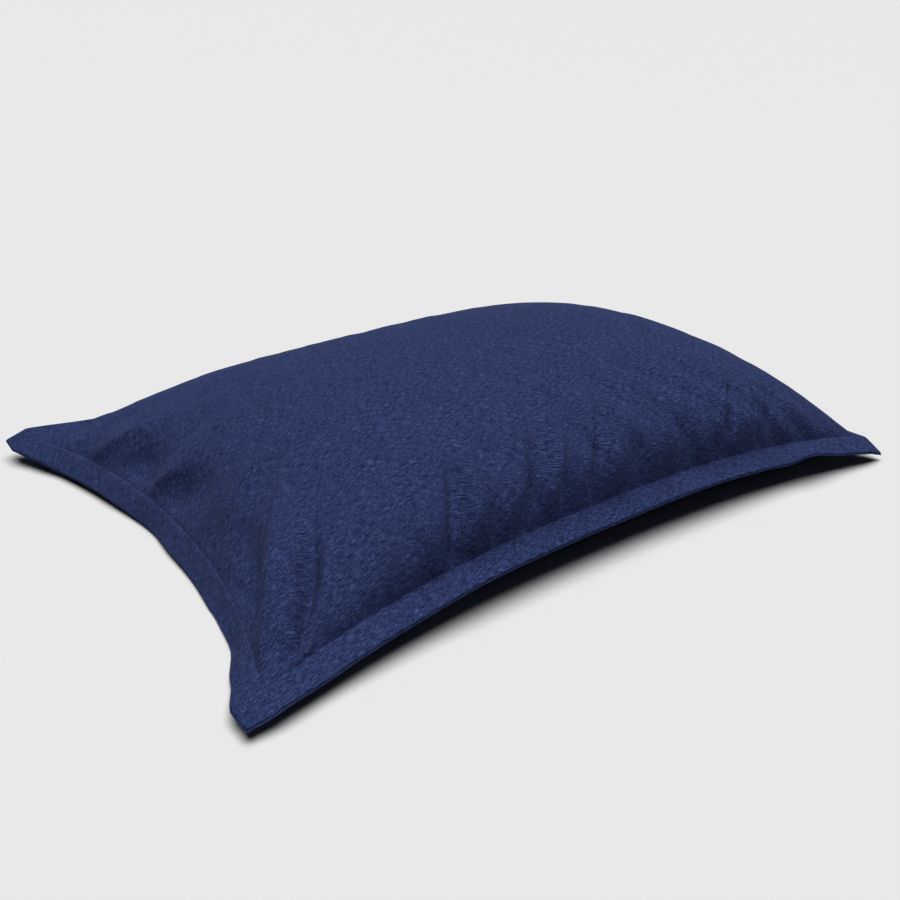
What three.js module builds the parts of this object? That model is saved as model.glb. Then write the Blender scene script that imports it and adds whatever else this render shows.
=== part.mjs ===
// A giant floor bean bag, lying on its back on the floor.
// Two equal cloth panels are sewn together edge to edge, turned, and stitched through once
// more inside the edge, which leaves a flat double flange all round the filled part.
// Units are millimetres, +Z is up and the length lies along X. The origin is on the floor,
// under the middle of the bounding box.
// A place on the cloth is given as u along the length and v along the width, both
// measured on the flat panel from its middle.
import * as THREE from "three";

// The flat, finished panel.
const PANEL_LENGTH = 1800;
const PANEL_WIDTH = 1400;
const FLANGE_WIDTH = 55;
const FLANGE_THICKNESS = 4;

// The stitched rectangle, flat and as it lies when the bag is full.
const SEAM_U = PANEL_LENGTH / 2 - FLANGE_WIDTH;
const SEAM_V = PANEL_WIDTH / 2 - FLANGE_WIDTH;
const CORNER_X = 809;
const CORNER_Y = 608;

// The crown over the stitched rectangle, with the exponents of its section along and
// across, and how much it leans towards +X and +Y as a share of its height.
const CROWN_HEIGHT = 228;
const CROWN_POWER_X = 2.76;
const CROWN_POWER_Y = 1.84;
const CROWN_ROUNDING = 0.41;
const CROWN_LEAN_X = 0.07;
const CROWN_LEAN_Y = -0.11;

// How far the wall bellies out over the stitching.
const WALL_BULGE = 18;

// Bend, in radians, that the panel takes from its middle to a side: it brings the cloth
// near the sides closer together in plan, because there it climbs.
const PANEL_BEND = 1.25;
const LEAST_BEND = 0.02;
const BEND_FADE = 4;

// The underside lies on the floor up to this share of the way to the stitching.
const FLOOR_SHARE = 0.86;

// Each side of the stitched rectangle: how far its middle is drawn in, how far its middle
// is lifted above the line between its corners, and the power of that curve.
const SIDES = {
  front: { drawIn: 62, lift: 53, power: 2.49 },
  back: { drawIn: 81, lift: 10, power: 2.49 },
  left: { drawIn: 109, lift: 5, power: 2.15 },
  right: { drawIn: 54, lift: 23, power: 2.15 },
};

// Each corner of the stitched rectangle: its side along X and Y, its height over the
// floor, the share of the crown that the filling leaves out there, and how far that
// reaches along each side as a share of the half length and half width.
const CORNERS = [
  { x: -1, y: 1, height: 57, slack: 0.38, reachX: 0.2, reachY: 0.3 },
  { x: -1, y: -1, height: 35, slack: 0.12, reachX: 0.2, reachY: 0.2 },
  { x: 1, y: -1, height: 60, slack: 0.16, reachX: 0.22, reachY: 0.22 },
  { x: 1, y: 1, height: 56, slack: 0.15, reachX: 0.2, reachY: 0.2 },
];

// How the flange hangs along each side: a place from -1 to 1 between the corners, its
// slope below level at the stitching, and the slope it gains on the way out, in degrees.
const FLANGE_HANG = {
  front: [
    { at: -1, slope: 10, curl: 0 },
    { at: -0.85, slope: 17, curl: 0 },
    { at: -0.5, slope: 19, curl: 0 },
    { at: -0.4, slope: 27, curl: 20 },
    { at: -0.3, slope: 17, curl: 0 },
    { at: 0.2, slope: 20, curl: 0 },
    { at: 0.55, slope: 19, curl: 0 },
    { at: 0.66, slope: 26, curl: 0 },
    { at: 0.74, slope: 12, curl: 0 },
    { at: 0.9, slope: 20, curl: 0 },
    { at: 1, slope: 24, curl: 0 },
  ],
  back: [
    { at: -1, slope: 2, curl: 0 },
    { at: -0.8, slope: -2, curl: 0 },
    { at: -0.4, slope: 5, curl: 0 },
    { at: 1, slope: 8, curl: 0 },
  ],
  left: [
    { at: -1, slope: 20, curl: 0 },
    { at: -0.86, slope: 34, curl: 0 },
    { at: -0.7, slope: 60, curl: 0 },
    { at: -0.55, slope: 62, curl: 0 },
    { at: -0.44, slope: 52, curl: 0 },
    { at: -0.3, slope: 56, curl: 0 },
    { at: 0.2, slope: 52, curl: 0 },
    { at: 0.45, slope: 45, curl: 0 },
    { at: 0.75, slope: 42, curl: 0 },
    { at: 1, slope: 30, curl: 0 },
  ],
  right: [
    { at: -1, slope: 8, curl: 0 },
    { at: 0, slope: 10, curl: 0 },
    { at: 1, slope: 5, curl: 0 },
  ],
};
const FLANGE_CLEARANCE = 3;

// The main folds of the upper panel: the middle of each on the cloth, the way it runs from
// +u in degrees, its length and width, and how far it stands out or, if negative, sinks in.
const FOLDS = [
  { u: -725, v: -440, angle: 56, length: 330, width: 44, height: 15 },
  { u: -731, v: -583, angle: 41, length: 190, width: 34, height: -13 },
  { u: -720, v: 320, angle: -37, length: 290, width: 42, height: 13 },
  { u: -772, v: 205, angle: -36, length: 170, width: 90, height: -26 },
  { u: -764, v: 92, angle: -34, length: 190, width: 36, height: 10 },
  { u: -790, v: -25, angle: -72, length: 230, width: 110, height: -28 },
];

// The gathers that stand on the wall over each row of stitching: their places along it as
// a share of its half length, and how far each stands out.
const GATHERS = {
  front: [
    { at: -0.6, height: 9 },
    { at: -0.45, height: 8 },
    { at: -0.22, height: 8 },
    { at: -0.01, height: 9 },
    { at: 0.1, height: 7 },
    { at: 0.32, height: 9 },
    { at: 0.48, height: 7 },
    { at: 0.65, height: 6 },
  ],
  back: [
    { at: -0.7, height: 7 },
    { at: -0.41, height: 9 },
    { at: -0.18, height: 7 },
    { at: 0.07, height: 9 },
    { at: 0.29, height: 8 },
    { at: 0.6, height: 7 },
  ],
  left: [{ at: -0.3, height: 6 }],
  right: [
    { at: -0.55, height: 8 },
    { at: -0.2, height: 9 },
    { at: 0.16, height: 7 },
    { at: 0.5, height: 9 },
  ],
};
const GATHER_WIDTH = 58;
const GATHER_FAR = 150;

// Distance from the stitching over which it holds the cloth against folds and gathers.
const FOLD_HOLD = 70;
const GATHER_HOLD = 25;

// Cells of the surface between the stitching along and across, which are finer towards the
// stitching by this power, and the cells across the flange.
const CELLS_U = 56;
const CELLS_V = 42;
const CELL_POWER = 1.3;
const FLANGE_CELLS = 2;

const COLOUR_CLOTH = 0x2e385d;
const ROUGHNESS_CLOTH = 0.92;

const UP = new THREE.Vector3(0, 0, 1);
const PROBE = 0.5; // step, in millimetres of cloth, of the slopes worked out below

function clamp(value, low, high) {
  return Math.min(Math.max(value, low), high);
}

// From 0 to 1 with level ends.
function eased(share) {
  const t = clamp(share, 0, 1);
  return t * t * (3 - 2 * t);
}

// A curve through the rows of a table, level at each row.
function between(rows, at, column) {
  let last = rows[0];
  for (const row of rows) {
    if (row.at > at) {
      const share = eased((at - last.at) / (row.at - last.at));
      return last[column] + (row[column] - last[column]) * share;
    }
    last = row;
  }
  return last[column];
}

// Share of the way from the middle to a side in plan, for a share of it on the cloth.
function planShare(share, otherShare) {
  const fade = 1 - Math.abs(otherShare) ** BEND_FADE;
  const bend = Math.max(PANEL_BEND * fade, LEAST_BEND);
  return Math.sin(bend * share) / Math.sin(bend);
}

// What one place between the stitching needs: where it is between the sides in plan, and
// its point on the smooth sheet that spans the four rows of stitching.
function spanAt(u, v) {
  const s = clamp(u / SEAM_U, -1, 1);
  const t = clamp(v / SEAM_V, -1, 1);
  const p = planShare(s, t);
  const q = planShare(t, s);
  const { front, back, left, right } = SIDES;
  const alongX = (1 + p) / 2;
  const alongY = (1 + q) / 2;
  const bowX = 1 - Math.abs(p) ** front.power;
  const bowY = 1 - Math.abs(q) ** left.power;
  const drawX = left.drawIn * (1 - alongX) - right.drawIn * alongX;
  const drawY = front.drawIn * (1 - alongY) - back.drawIn * alongY;
  let height = bowX * (front.lift * (1 - alongY) + back.lift * alongY);
  height += bowY * (left.lift * (1 - alongX) + right.lift * alongX);
  for (const corner of CORNERS) {
    height += (corner.height * (1 + corner.x * p) * (1 + corner.y * q)) / 4;
  }
  const point = new THREE.Vector3(p * CORNER_X + bowY * drawX, q * CORNER_Y + bowX * drawY, height);
  return { s, t, p, q, point };
}

// Height of the crown as a share of its full height, 0 along the stitching.
function crownShare({ s, t, p, q }) {
  const section = (1 - Math.abs(p) ** CROWN_POWER_X) * (1 - Math.abs(q) ** CROWN_POWER_Y);
  let share = Math.max(section, 0) ** CROWN_ROUNDING;
  share *= 1 + CROWN_LEAN_X * p + CROWN_LEAN_Y * q;
  for (const { x, y, slack, reachX, reachY } of CORNERS) {
    share *= 1 - slack * Math.exp(-(((s - x) / reachX) ** 2 + ((t - y) / reachY) ** 2));
  }
  return share;
}

// The full upper panel without its folds.
function smoothTop(u, v) {
  const span = spanAt(u, v);
  const share = crownShare(span);
  const wall = 4 * clamp(share, 0, 1) * (1 - clamp(share, 0, 1)) * WALL_BULGE;
  span.point.x += Math.sign(span.p) * Math.abs(span.p) ** 6 * wall;
  span.point.y += Math.sign(span.q) * Math.abs(span.q) ** 6 * wall;
  span.point.z += CROWN_HEIGHT * share;
  return span.point;
}

function bell(distance, width) {
  return Math.exp(-(((2 * distance) / width) ** 2));
}

// One row of gathers: each is a ridge that starts just over the stitching and fades out
// up the wall.
function gatherHeight(rows, along, halfLength, fromSeam) {
  const rise = eased(fromSeam / GATHER_HOLD);
  const fade = clamp(1 - fromSeam / GATHER_FAR, 0, 1);
  let height = 0;
  for (const { at, height: most } of rows) {
    height += most * bell(along - at * halfLength, GATHER_WIDTH);
  }
  return height * rise * fade * fade;
}

// How far the folds and gathers move the upper panel outwards at one place.
function foldHeight(u, v) {
  const fromSeam = Math.min(SEAM_U - Math.abs(u), SEAM_V - Math.abs(v));
  const held = eased(fromSeam / FOLD_HOLD);
  let height = 0;
  for (const fold of FOLDS) {
    const angle = THREE.MathUtils.degToRad(fold.angle);
    const along = (u - fold.u) * Math.cos(angle) + (v - fold.v) * Math.sin(angle);
    const across = (v - fold.v) * Math.cos(angle) - (u - fold.u) * Math.sin(angle);
    height += fold.height * bell(along, fold.length) * bell(across, fold.width) * held;
  }
  height += gatherHeight(GATHERS.front, u, SEAM_U, SEAM_V + v);
  height += gatherHeight(GATHERS.back, u, SEAM_U, SEAM_V - v);
  height += gatherHeight(GATHERS.left, v, SEAM_V, SEAM_U + u);
  height += gatherHeight(GATHERS.right, v, SEAM_V, SEAM_U - u);
  return height;
}

// Outward direction of a surface at one place, from its slopes along u and v.
function outward(surface, u, v) {
  const alongU = surface(u + PROBE, v).sub(surface(u - PROBE, v));
  const alongV = surface(u, v + PROBE).sub(surface(u, v - PROBE));
  return alongU.cross(alongV).normalize();
}

// How far out and down a flange lies at one distance from the stitching.
function hang(rows, at, distance) {
  const curl = (between(rows, at, "curl") * distance) / FLANGE_WIDTH / 2;
  const slope = THREE.MathUtils.degToRad(between(rows, at, "slope") + curl);
  return { out: distance * Math.cos(slope), down: distance * Math.sin(slope) };
}

// The middle of the cloth outside the stitching, and the stitched sheet inside it.
function middle(u, v) {
  const { s, t, point } = spanAt(u, v);
  const pastU = Math.max(Math.abs(u) - SEAM_U, 0);
  const pastV = Math.max(Math.abs(v) - SEAM_V, 0);
  const end = hang(u < 0 ? FLANGE_HANG.left : FLANGE_HANG.right, t, pastU);
  const side = hang(v < 0 ? FLANGE_HANG.front : FLANGE_HANG.back, s, pastV);
  point.x += Math.sign(u) * end.out;
  point.y += Math.sign(v) * side.out;
  point.z = Math.max(point.z - end.down - side.down, FLANGE_CLEARANCE);
  return point;
}

function insideSeam(u, v) {
  return Math.abs(u) < SEAM_U && Math.abs(v) < SEAM_V;
}

function upperPoint(u, v) {
  if (insideSeam(u, v)) {
    const point = smoothTop(u, v).addScaledVector(UP, FLANGE_THICKNESS / 2);
    return point.addScaledVector(outward(smoothTop, u, v), foldHeight(u, v));
  }
  return middle(u, v).addScaledVector(outward(middle, u, v), FLANGE_THICKNESS / 2);
}

// The lower panel falls from the stitching to the floor in a quarter round and lies flat.
function lowerPoint(u, v) {
  if (insideSeam(u, v)) {
    const { p, q, point } = spanAt(u, v);
    const reach = Math.max(Math.abs(p), Math.abs(q));
    const rise = clamp((reach - FLOOR_SHARE) / (1 - FLOOR_SHARE), 0, 1);
    const round = 1 - Math.sqrt(1 - rise * rise);
    point.z = round * (point.z - FLANGE_THICKNESS / 2);
    return point;
  }
  return middle(u, v).addScaledVector(outward(middle, u, v), -FLANGE_THICKNESS / 2);
}

// Places of the grid lines from edge to edge, symmetrical about the middle.
function gridLines(seam, cells) {
  const half = [];
  for (let i = 0; i <= cells / 2; i += 1) {
    const share = i / (cells / 2);
    half.push(seam * (1 - (1 - share) ** CELL_POWER));
  }
  for (let i = 1; i <= FLANGE_CELLS; i += 1) {
    half.push(seam + (FLANGE_WIDTH * i) / FLANGE_CELLS);
  }
  const mirrored = half.slice(1).map((place) => -place);
  return [...mirrored.reverse(), ...half];
}

// One closed surface: the upper panel's grid, the lower panel's, which has half as many
// lines each way where it lies on the floor, and the thin rim that joins them.
function filledBag() {
  const linesU = gridLines(SEAM_U, CELLS_U);
  const linesV = gridLines(SEAM_V, CELLS_V);
  const lastU = linesU.length - 1;
  const lastV = linesV.length - 1;
  const positions = [];
  const index = [];
  for (const surface of [upperPoint, lowerPoint]) {
    for (const u of linesU) {
      for (const v of linesV) {
        positions.push(...surface(u, v).toArray());
      }
    }
  }
  const upper = (i, j) => i * linesV.length + j;
  const lower = (i, j) => linesU.length * linesV.length + upper(i, j);
  const quad = (a, b, c, d) => index.push(a, b, c, a, c, d);

  for (let i = 0; i < lastU; i += 1) {
    for (let j = 0; j < lastV; j += 1) {
      quad(upper(i, j), upper(i + 1, j), upper(i + 1, j + 1), upper(i, j + 1));
    }
  }

  // The lower panel's outer cells, over the flange only.
  const onFlange = (i, last) => i < FLANGE_CELLS || i >= last - FLANGE_CELLS;
  for (let i = 0; i < lastU; i += 1) {
    for (let j = 0; j < lastV; j += 1) {
      if (onFlange(i, lastU) || onFlange(j, lastV)) {
        quad(lower(i, j), lower(i, j + 1), lower(i + 1, j + 1), lower(i + 1, j));
      }
    }
  }

  // Its inner cells, two by two. Where such a cell meets the flange it also takes the
  // vertex between its corners, and fans out from the corner farthest from the flange.
  const firstIn = FLANGE_CELLS;
  const lastInU = lastU - FLANGE_CELLS;
  const lastInV = lastV - FLANGE_CELLS;
  for (let i = firstIn; i < lastInU; i += 2) {
    for (let j = firstIn; j < lastInV; j += 2) {
      const outline = [[i, j]];
      if (i === firstIn) outline.push([i, j + 1]);
      outline.push([i, j + 2]);
      if (j + 2 === lastInV) outline.push([i + 1, j + 2]);
      outline.push([i + 2, j + 2]);
      if (i + 2 === lastInU) outline.push([i + 2, j + 1]);
      outline.push([i + 2, j]);
      if (j === firstIn) outline.push([i + 1, j]);
      const apexU = i === firstIn ? i + 2 : i;
      const apexV = j === firstIn ? j + 2 : j;
      const start = outline.findIndex(([a, b]) => a === apexU && b === apexV);
      const ring = [...outline.slice(start), ...outline.slice(0, start)];
      for (let k = 1; k + 1 < ring.length; k += 1) {
        index.push(lower(...ring[0]), lower(...ring[k]), lower(...ring[k + 1]));
      }
    }
  }

  // The rim, walked anticlockwise seen from above.
  const rim = [];
  for (let i = 0; i < lastU; i += 1) rim.push([i, 0]);
  for (let j = 0; j < lastV; j += 1) rim.push([lastU, j]);
  for (let i = lastU; i > 0; i -= 1) rim.push([i, lastV]);
  for (let j = lastV; j > 0; j -= 1) rim.push([0, j]);
  rim.forEach((here, k) => {
    const next = rim[(k + 1) % rim.length];
    quad(upper(...here), lower(...here), lower(...next), upper(...next));
  });

  const geometry = new THREE.BufferGeometry();
  geometry.setAttribute("position", new THREE.Float32BufferAttribute(positions, 3));
  geometry.setIndex(index);
  geometry.computeBoundingBox();
  const centre = geometry.boundingBox.getCenter(new THREE.Vector3());
  geometry.translate(-centre.x, -centre.y, 0);
  return geometry;
}

const cloth = new THREE.MeshStandardMaterial({
  color: COLOUR_CLOTH,
  roughness: ROUGHNESS_CLOTH,
  metalness: 0,
});
const bag = new THREE.Mesh(filledBag(), cloth);
bag.name = "filled_bag";

const beanBag = new THREE.Group();
beanBag.add(bag);

export default beanBag;
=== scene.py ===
"""A giant floor bean bag: two sewn cloth panels with a stitched flange, filled with beads.

Shapes are worked out in millimetres, on the cloth: u runs along the flat panel and v
across it, both from its middle. They go into the meshes in metres, in the part's frame.
"""

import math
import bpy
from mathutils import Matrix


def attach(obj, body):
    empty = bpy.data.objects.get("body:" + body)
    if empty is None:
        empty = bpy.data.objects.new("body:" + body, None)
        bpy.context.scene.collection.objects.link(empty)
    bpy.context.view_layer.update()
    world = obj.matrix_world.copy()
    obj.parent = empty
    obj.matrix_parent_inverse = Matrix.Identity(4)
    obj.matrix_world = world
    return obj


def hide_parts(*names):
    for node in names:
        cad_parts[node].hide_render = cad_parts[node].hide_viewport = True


bl_info = {
    "name": "Giant Floor Bean Bag",
    "version": (1, 0, 0),
    "blender": (4, 5, 0),
    "location": "3D View > Sidebar > Bean Bag",
    "description": "Makes the filled bag, its stitching and the studio it is shown in",
    "category": "Object",
}

import bpy
import numpy as np
from mathutils import Vector

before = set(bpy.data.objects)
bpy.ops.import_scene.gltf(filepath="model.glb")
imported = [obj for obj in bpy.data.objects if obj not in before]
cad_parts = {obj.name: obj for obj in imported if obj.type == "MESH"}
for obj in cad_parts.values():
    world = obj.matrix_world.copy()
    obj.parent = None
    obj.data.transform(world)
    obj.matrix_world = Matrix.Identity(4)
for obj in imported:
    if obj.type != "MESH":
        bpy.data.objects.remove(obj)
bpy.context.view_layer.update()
MM = 0.001

# The flat, finished panel, and the stitched rectangle flat and as it lies when full.
PANEL_LENGTH = 1800.0
PANEL_WIDTH = 1400.0
FLANGE_WIDTH = 55.0
SEAM_U = PANEL_LENGTH / 2 - FLANGE_WIDTH
SEAM_V = PANEL_WIDTH / 2 - FLANGE_WIDTH
CORNER_X = 809.0
CORNER_Y = 608.0

# The crown over the stitched rectangle: its height, the exponents of its section along
# and across, and how much it leans towards +X and +Y as a share of its height.
CROWN_HEIGHT = 228.0
CROWN_POWER_X = 2.76
CROWN_POWER_Y = 1.84
CROWN_ROUNDING = 0.41
CROWN_LEAN_X = 0.07
CROWN_LEAN_Y = -0.11

# Bend, in radians, that a panel takes from its middle to a side, the least it keeps near
# the other pair of sides, and the power by which it fades there. The underside lies on
# the floor up to a share of the way to the stitching.
PANEL_BEND = 1.25
LEAST_BEND = 0.02
BEND_FADE = 4
FLOOR_SHARE = 0.86

# Each side of the stitched rectangle: how far its middle is drawn in and lifted, and the
# power of that curve.
SIDES = {
    "front": {"draw_in": 62.0, "lift": 53.0, "power": 2.49},
    "back": {"draw_in": 81.0, "lift": 10.0, "power": 2.49},
    "left": {"draw_in": 109.0, "lift": 5.0, "power": 2.15},
    "right": {"draw_in": 54.0, "lift": 23.0, "power": 2.15},
}

# How far the wall bellies out over each row of stitching, at places from -1 to 1 along it.
# The belly fades towards the middle of the panel by a power of the plan share, and is
# uneven along the row by a share of itself, in waves of about one length.
BULGES = {
    "front": [
        {"at": -1.0, "bulge": 4},
        {"at": -0.8, "bulge": 10},
        {"at": -0.5, "bulge": 34},
        {"at": 0.0, "bulge": 38},
        {"at": 0.75, "bulge": 34},
        {"at": 1.0, "bulge": 16},
    ],
    "back": [{"at": -1.0, "bulge": 18}, {"at": 1.0, "bulge": 18}],
    "left": [
        {"at": -1.0, "bulge": 4},
        {"at": -0.8, "bulge": 12},
        {"at": -0.45, "bulge": 24},
        {"at": -0.1, "bulge": 36},
        {"at": 0.5, "bulge": 34},
        {"at": 0.75, "bulge": 12},
        {"at": 1.0, "bulge": 4},
    ],
    "right": [{"at": -1.0, "bulge": 14}, {"at": 1.0, "bulge": 14}],
}
BELLY_POWER = 4
BELLY_UNEVEN = 0.12
BELLY_UNEVEN_LENGTH = 55.0

# Where the cloth pulls tight down the front wall and takes a share off its belly, and
# where, with a share below 0, it bulges further out in between: the place along the side
# and the width. Each shifts along the side by this lean on its way up the wall, and is in
# its place at this distance from the stitching.
PULLS = [
    {"at": -0.600, "width": 50, "share": 0.7},
    {"at": -0.520, "width": 46, "share": -0.3},
    {"at": -0.453, "width": 38, "share": 1.1},
    {"at": -0.400, "width": 44, "share": -0.7},
    {"at": -0.340, "width": 36, "share": 0.5},
    {"at": -0.280, "width": 50, "share": -0.5},
    {"at": -0.218, "width": 50, "share": 0.7},
    {"at": -0.165, "width": 36, "share": -0.5},
    {"at": -0.125, "width": 30, "share": 0.4},
    {"at": -0.020, "width": 38, "share": 1.1},
    {"at": 0.040, "width": 70, "share": -0.6},
    {"at": 0.130, "width": 40, "share": 0.4},
    {"at": 0.325, "width": 60, "share": 0.5},
    {"at": 0.405, "width": 50, "share": -0.4},
    {"at": 0.478, "width": 40, "share": 0.9},
    {"at": 0.550, "width": 60, "share": -0.4},
    {"at": 0.655, "width": 44, "share": 0.8},
]
PULL_LEAN = 0.5
PULL_FROM_SEAM = 60.0

# The crown rises less steeply over the left row, where the filling has sunk, and more
# steeply over the front row: what that adds to its exponent, the plan share at which it
# begins, and a foot that keeps the rise from standing upright at the stitching itself.
LEFT_ROUNDING = 0.10
LEFT_FROM = 0.55
LEFT_FOOT = 0.02
FRONT_ROUNDING = -0.09
FRONT_FROM = 0.30
FRONT_FOOT = 0.006

# Each corner of the stitched rectangle: its side along X and Y, its height, the share of
# the crown that the filling leaves out there, and how far that reaches along each side.
CORNERS = [
    {"x": -1, "y": 1, "height": 57.0, "slack": 0.38, "reach_x": 0.20, "reach_y": 0.30},
    {"x": -1, "y": -1, "height": 35.0, "slack": 0.12, "reach_x": 0.20, "reach_y": 0.20},
    {"x": 1, "y": -1, "height": 60.0, "slack": 0.16, "reach_x": 0.22, "reach_y": 0.22},
    {"x": 1, "y": 1, "height": 56.0, "slack": 0.15, "reach_x": 0.20, "reach_y": 0.20},
]

# How the flange hangs along each side: a place from -1 to 1 between the corners, its slope
# below level at the stitching, and the slope it gains on the way out, in degrees. It stays
# clear of the floor.
FLANGE_HANG = {
    "front": [
        {"at": -1.0, "slope": 4, "curl": 0},
        {"at": -0.85, "slope": 19, "curl": 0},
        {"at": -0.6, "slope": 22, "curl": 4},
        {"at": -0.46, "slope": 13, "curl": 14},
        {"at": -0.2, "slope": 20, "curl": 10},
        {"at": 0.05, "slope": 25, "curl": 4},
        {"at": 0.2, "slope": 21, "curl": 8},
        {"at": 0.4, "slope": 24, "curl": 0},
        {"at": 0.55, "slope": 19, "curl": 14},
        {"at": 0.66, "slope": 30, "curl": 0},
        {"at": 0.74, "slope": 12, "curl": 0},
        {"at": 0.9, "slope": 27, "curl": 0},
        {"at": 1.0, "slope": 30, "curl": 0},
    ],
    "back": [
        {"at": -1.0, "slope": -8, "curl": 0},
        {"at": -0.8, "slope": -2, "curl": 0},
        {"at": -0.55, "slope": 7, "curl": 10},
        {"at": -0.3, "slope": 3, "curl": 0},
        {"at": 0.1, "slope": 9, "curl": 8},
        {"at": 0.45, "slope": 4, "curl": 0},
        {"at": 0.8, "slope": 10, "curl": 6},
        {"at": 1.0, "slope": 8, "curl": 0},
    ],
    "left": [
        {"at": -1.0, "slope": 9, "curl": 0},
        {"at": -0.86, "slope": 34, "curl": 0},
        {"at": -0.7, "slope": 60, "curl": 0},
        {"at": -0.55, "slope": 62, "curl": -12},
        {"at": -0.44, "slope": 52, "curl": 0},
        {"at": -0.3, "slope": 58, "curl": -10},
        {"at": -0.1, "slope": 50, "curl": 0},
        {"at": 0.1, "slope": 56, "curl": 10},
        {"at": 0.45, "slope": 44, "curl": 0},
        {"at": 0.75, "slope": 42, "curl": 6},
        {"at": 0.9, "slope": 30, "curl": 0},
        {"at": 1.0, "slope": 20, "curl": 0},
    ],
    "right": [
        {"at": -1.0, "slope": 18, "curl": 0},
        {"at": -0.6, "slope": 8, "curl": 6},
        {"at": -0.2, "slope": 12, "curl": 0},
        {"at": 0.2, "slope": 7, "curl": 10},
        {"at": 0.6, "slope": 11, "curl": 0},
        {"at": 1.0, "slope": 5, "curl": 0},
    ],
}
FLANGE_CLEARANCE = 3.0

# Half the flange's thickness on its way out from the stitching, up to the groove where
# the two panels are sewn together. The lower panel's edge rolls out a little further.
FLANGE_FACE = [
    {"out": 0.0, "half": 1.0},
    {"out": 2.5, "half": 1.9},
    {"out": 6.0, "half": 2.6},
    {"out": 12.0, "half": 2.9},
    {"out": 20.0, "half": 2.8},
    {"out": 29.0, "half": 2.8},
    {"out": 38.0, "half": 2.9},
]
UPPER_EDGE = FLANGE_FACE + [
    {"out": 44.5, "half": 3.2},
    {"out": 49.0, "half": 3.4},
    {"out": 51.6, "half": 3.0},
    {"out": 53.0, "half": 2.2},
    {"out": 53.1, "half": 1.2},
    {"out": 52.2, "half": 0.4},
    {"out": 50.0, "half": 0.0},
]
LOWER_EDGE = FLANGE_FACE + [
    {"out": 45.0, "half": 3.2},
    {"out": 51.5, "half": 3.4},
    {"out": 54.6, "half": 3.0},
    {"out": 56.0, "half": 2.1},
    {"out": 55.8, "half": 1.1},
    {"out": 54.0, "half": 0.4},
    {"out": 50.0, "half": 0.0},
]

# The folds of the upper panel: the middle of each, the way it runs from +u in degrees,
# its length, its reach on the left and on the right of that way, and how far it stands
# out, with a crest rounded over a few millimetres, or if negative how deep it lies, with a
# round bottom.
FOLDS = [
    # The ridges and hollows that run down to the left stitching from the back corner.
    {"u": -722, "v": 318, "way": -37, "length": 280, "left": 46, "right": 22, "height": 20},
    {"u": -760, "v": 200, "way": -38, "length": 190, "left": 56, "right": 80, "height": -26},
    {"u": -764, "v": 86, "way": -34, "length": 170, "left": 40, "right": 18, "height": 20},
    {"u": -755, "v": -10, "way": -58, "length": 210, "left": 80, "right": 80, "height": -28},
    {"u": -770, "v": -230, "way": -80, "length": 230, "left": 60, "right": 60, "height": -10},
    # The ridge and the troughs that run up from the front left corner.
    {"u": -716, "v": -432, "way": 52, "length": 360, "left": 22, "right": 60, "height": 36},
    {"u": -778, "v": -392, "way": 58, "length": 260, "left": 50, "right": 40, "height": -18},
    {"u": -718, "v": -555, "way": 53, "length": 320, "left": 21, "right": 23, "height": -40},
    {"u": -640, "v": -560, "way": 62, "length": 240, "left": 26, "right": 30, "height": -8},
    {"u": -833, "v": -355, "way": -84, "length": 95, "left": 14, "right": 16, "height": -8},
    {"u": -812, "v": -575, "way": 74, "length": 80, "left": 14, "right": 16, "height": -7},
]
CREST_ROUNDING = 5.0

# The gathers over the back and the right row of stitching: their places along it as a
# share of its half length, and how far each stands out. They are this wide and fade out
# this far up the wall. The stitching holds the cloth flat over a short way, more of it
# for gathers than for folds.
GATHERS = {
    "back": [
        {"at": -0.70, "height": 7},
        {"at": -0.41, "height": 9},
        {"at": -0.18, "height": 7},
        {"at": 0.07, "height": 9},
        {"at": 0.29, "height": 8},
        {"at": 0.60, "height": 7},
    ],
    "right": [
        {"at": -0.55, "height": 8},
        {"at": -0.20, "height": 9},
        {"at": 0.16, "height": 7},
        {"at": 0.50, "height": 9},
    ],
}
GATHER_WIDTH = 38.0
GATHER_FAR = 170.0
FOLD_HOLD = 30.0
GATHER_HOLD = 40.0

# Cells of the panel between the stitching, finer towards it by this power. The cloth is
# measured along sections of this many points, and the even spread of it gives way to the
# even rows of stitching by a power of the distance out.
CELLS_U = 220
CELLS_V = 168
CELL_POWER = 1.2
SECTION_POINTS = 600
SIDE_FADE = 12

# Settling the upper panel as cloth: its coarser grid, the frames it runs for, the
# pressure of the filling, the cloth's spare length as a share, the height and length of
# the unevenness it starts with and the distance from the stitching over which that sets
# in, how far a point may move, the widths over which movement is carried to the finer
# grid and over which it counts as swelling and is left out, the distance from the
# stitching over which the rest sets in, and how much of it is shown towards each side.
SETTLE_CELLS_U = 150
SETTLE_CELLS_V = 116
SETTLE_FRAMES = 20
SETTLE_PRESSURE = 4.0
SETTLE_SLACK = 0.02
SETTLE_SEED = 0.3
SETTLE_SEED_LENGTH = 70.0
SETTLE_SEED_HOLD = 30.0
SETTLE_REACH = 7.0
SETTLE_CARRY = 9.0
SETTLE_FORM = 70.0
SETTLE_HOLD = 12.0
SETTLE_SHOWN = {"front": 1.3, "back": 1.2, "left": 0.6, "right": 1.1}

# The stitching: one stitch for each length of row, its thread and how far it stands out.
STITCH_LENGTH = 5.0
THREAD_RADIUS = 0.45
THREAD_SIDES = 6
THREAD_STEPS = 4
STITCH_SHARE = 0.74
STITCH_RISE = 0.5
STITCH_FROM_SEAM = 1.2
YARN_SPACING = 1.4

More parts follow.
